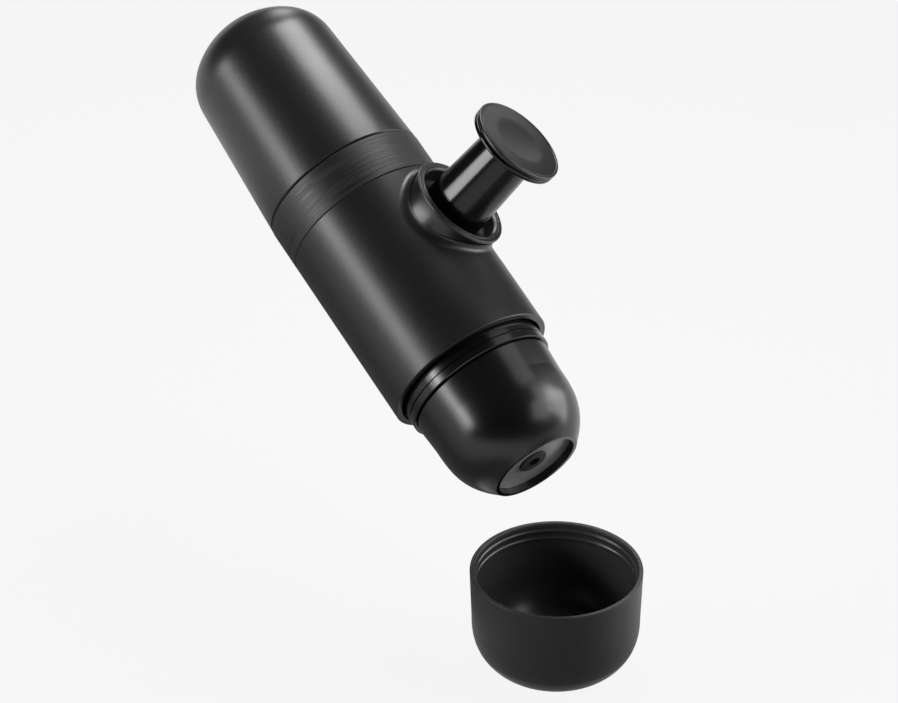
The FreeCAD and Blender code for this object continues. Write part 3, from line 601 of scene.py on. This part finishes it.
def grey_card(name, bm, brightness, covering):
    """Card that dims reflections; covering gives how much of it is left at each point."""
    shade = bm.verts.layers.float.new("shade")
    for vert in bm.verts:
        vert[shade] = min(1, max(0, covering(vert.co)))
    mesh = bpy.data.meshes.new(name)
    bm.to_mesh(mesh)
    bm.free()
    material = bpy.data.materials.new(name)
    material.use_nodes = True
    nodes, links = material.node_tree.nodes, material.node_tree.links
    nodes.remove(nodes["Principled BSDF"])
    glow = nodes.new("ShaderNodeEmission")
    glow.inputs["Strength"].default_value = brightness
    mix = nodes.new("ShaderNodeMixShader")
    left = nodes.new("ShaderNodeAttribute")
    left.attribute_name = "shade"
    links.new(left.outputs["Fac"], mix.inputs["Fac"])
    links.new(nodes.new("ShaderNodeBsdfTransparent").outputs[0], mix.inputs[1])
    links.new(glow.outputs[0], mix.inputs[2])
    links.new(mix.outputs[0], nodes["Material Output"].inputs["Surface"])
    mesh.materials.append(material)
    card = bpy.data.objects.new(name, mesh)
    bpy.context.scene.collection.objects.link(card)
    card.visible_camera = False
    card.visible_diffuse = False
    card.visible_shadow = False
    card.visible_transmission = False


TROUGH_R = 0.09
TROUGH_FROM, TROUGH_TO = 60, 188
TROUGH_LOW, TROUGH_ROW, TROUGH_ROWS = -106, 7, 36
bm = bmesh.new()
outlined(bm, [(TROUGH_R * 1000, TROUGH_LOW + TROUGH_ROW * i, 0) for i in range(TROUGH_ROWS + 1)],
         closed=False)
bmesh.ops.rotate(bm, verts=bm.verts, cent=(0, 0, 0),
                 matrix=Matrix.Rotation(radians(TROUGH_FROM), 3, "Z"))
bmesh.ops.spin(bm, geom=bm.verts[:] + bm.edges[:], cent=(0, 0, 0), axis=(0, 0, 1), dvec=(0, 0, 0),
               angle=radians(TROUGH_TO - TROUGH_FROM), steps=44)
across_view = Matrix((facing, leftwards, axis)).transposed().to_4x4()
bmesh.ops.transform(bm, matrix=Matrix.Translation(HELD.translation) @ across_view, verts=bm.verts)


def trough_covering(point):
    """Whole below the barrel, cut back on its far side, and whole again beside and below the head."""
    place = across_view.inverted() @ (point - HELD.translation)
    turn = atan2(place.y, place.x) % (2 * pi)
    near_edge = min((turn - radians(TROUGH_FROM)) / radians(36), 1)
    beside_head = min((0.03 - place.z) / 0.02, (place.z + 0.05) / 0.02)
    below_head = min((-0.045 - place.z) / 0.02, (radians(178) - turn) / radians(8))
    far_edge = min(max(beside_head, below_head, (radians(167) - turn) / radians(16), 0), 1)
    ends = min((0.145 - place.z) / 0.035, (place.z + 0.106) / 0.03, 1)
    return near_edge * far_edge * ends


grey_card("trough_card", bm, 0.15, trough_covering)

SIDE_R = 0.2
SIDE_FROM, SIDE_TO = 72, 144
SIDE_LOW, SIDE_ROW, SIDE_ROWS = 30, 8, 14
bm = bmesh.new()
outlined(bm, [(SIDE_R * 1000, SIDE_LOW + SIDE_ROW * i, 0) for i in range(SIDE_ROWS + 1)],
         closed=False)
bmesh.ops.rotate(bm, verts=bm.verts, cent=(0, 0, 0),
                 matrix=Matrix.Rotation(radians(-SIDE_FROM), 3, "Z"))
bmesh.ops.spin(bm, geom=bm.verts[:] + bm.edges[:], cent=(0, 0, 0), axis=(0, 0, 1), dvec=(0, 0, 0),
               angle=radians(SIDE_FROM - SIDE_TO), steps=24)
bmesh.ops.transform(bm, matrix=Matrix.Translation(HELD.translation) @ across_view, verts=bm.verts)


def side_covering(point):
    """Whole in the middle of the card, fading to its four edges."""
    place = across_view.inverted() @ (point - HELD.translation)
    turn = -atan2(place.y, place.x)
    sides = min((turn - radians(SIDE_FROM)) / radians(12), (radians(SIDE_TO) - turn) / radians(12), 1)
    return sides * min((place.z - 0.03) / 0.02, (0.142 - place.z) / 0.03, 1)


grey_card("side_card", bm, 0.12, side_covering)

bm = bmesh.new()
bmesh.ops.create_grid(bm, x_segments=40, y_segments=40, size=0.14)
front = Vector((0.136, -0.055, cad_box[0][2] + 0.0003))
bmesh.ops.translate(bm, verts=bm.verts, vec=front)
grey_card("floor_card", bm, 0.25, lambda point: (0.135 - (point - front).length) / 0.06)

bm = bmesh.new()
bmesh.ops.create_grid(bm, x_segments=20, y_segments=20, size=0.06)
behind = camera_turn.to_3x3() @ Vector((0.115, 0.1, -0.05))
towards_maker = behind.to_track_quat("Z", "Y").to_matrix().to_4x4()
bmesh.ops.transform(bm, matrix=Matrix.Translation(behind) @ towards_maker, verts=bm.verts)
grey_card("back_card", bm, 0.1, lambda point: (0.06 - (point - behind).length) / 0.025)


# Studio round the floor: it gives a faint light that falls off from the horizon upwards. The
# camera alone sees it as pale as the floor.
SKY_LOW, SKY_HIGH = 0.05, 0.45
SKY_PALE, SKY_DARK = 0.046, 0.0045
world = bpy.data.worlds.new("studio")
world.use_nodes = True
bpy.context.scene.world = world
nodes, links = world.node_tree.nodes, world.node_tree.links
sky = nodes["Background"]
sky.inputs["Color"].default_value = (1, 1, 1, 1)
split = nodes.new("ShaderNodeSeparateXYZ")
links.new(nodes.new("ShaderNodeTexCoord").outputs["Generated"], split.inputs[0])
fade = nodes.new("ShaderNodeMapRange")
fade.inputs["From Min"].default_value = SKY_LOW
fade.inputs["From Max"].default_value = SKY_HIGH
fade.inputs["To Min"].default_value = SKY_PALE
fade.inputs["To Max"].default_value = SKY_DARK
links.new(split.outputs["Z"], fade.inputs["Value"])
seen = nodes.new("ShaderNodeMix")
links.new(nodes.new("ShaderNodeLightPath").outputs["Is Camera Ray"], seen.inputs["Factor"])
links.new(fade.outputs["Result"], seen.inputs["A"])
seen.inputs["B"].default_value = PALE
links.new(seen.outputs["Result"], sky.inputs["Strength"])


# Camera: as far off as the photograph's, on a long lens. Its place is given in its own frame,
# from the middle of the stretch that the hand grips.
CAMERA_AT = (-0.000214, -0.004285, 1.71504)
LENS = 200.45
camera_place = camera_turn @ Vector(CAMERA_AT)
camera_data = bpy.data.cameras.new("camera")
camera_data.sensor_width = 36.0
camera_data.lens = LENS
camera_data.clip_start = 0.1
camera_data.clip_end = 100
camera = bpy.data.objects.new("camera", camera_data)
camera.matrix_world = Matrix.Translation(camera_place) @ camera_turn
bpy.context.scene.collection.objects.link(camera)
bpy.context.scene.camera = camera


# Lamps: soft boxes. The first four are set by the angle round the barrel at which the camera sees
# them mirrored, and the others by a direction in the camera's own frame.
def softbox(name, middle, direction, distance, width, length, radiance):
    """Rectangular lamp, its length in line with the barrel, off a point in some direction. Its
    distance, width and length are in metres."""
    data = bpy.data.lights.new(name, "AREA")
    data.shape = "RECTANGLE"
    data.size = width
    data.size_y = length
    data.energy = radiance * pi * width * length
    lamp = bpy.data.objects.new(name, data)
    y = (axis - direction * axis.dot(direction)).normalized()
    turn = Matrix((y.cross(direction), y, direction)).transposed().to_4x4()
    lamp.matrix_world = Matrix.Translation(middle + direction * distance) @ turn
    bpy.context.scene.collection.objects.link(lamp)


def mirrored(angle, along):
    """Barrel's surface point at an angle round it, and where it mirrors the camera to."""
    normal = Matrix.Rotation(radians(angle), 3, axis) @ facing
    spot = HELD @ Vector((0, 0, along)) + normal * 0.03
    look = (camera_place - spot).normalized()
    return spot, (2 * normal.dot(look) * normal - look).normalized()


def aimed(height, right, up, near):
    """Spot on the maker's axis at a height, and a direction in the camera's own frame."""
    way = camera_turn.to_3x3() @ Vector((right, up, near))
    return HELD @ Vector((0, 0, height)), way.normalized()


softbox("left_strip", *mirrored(-25, 0.055), 0.7, 0.09, 0.49, 9)
softbox("left_glow", *mirrored(-26, 0.055), 0.705, 0.28, 0.51, 4.6)
softbox("top_box", *mirrored(35, 0.148), 0.2, 0.14, 0.09, 14)
softbox("head_box", *mirrored(33, -0.02), 0.15, 0.085, 0.034, 1.9)
softbox("edge_box", *aimed(-0.03, 0.75, 0.62, 0.22), 0.15, 0.1, 0.06, 2.3)
softbox("side_box", *aimed(-0.03, 0.75, 0.635, -0.18), 0.12, 0.09, 0.05, 0.6)
softbox("dome_box", *aimed(0.14, 0.08, 0.86, -0.5), 0.4, 0.2, 0.1, 5)
softbox("right_box", *aimed(-0.03, 0.93, 0.36, -0.05), 0.6, 0.42, 0.36, 4.5)
softbox("front_box", *aimed(-0.03, 0.8, 0.28, 0.53), 0.6, 0.3, 0.3, 2.4)
knob_way = aimed(0, 0.47, 0.68, -0.57)[1]
softbox("knob_box", ACROSS @ Vector((0, 0, 0.066)), knob_way, 0.12, 0.06, 0.06, 1.1)

bpy.context.scene.view_settings.view_transform = "Standard"
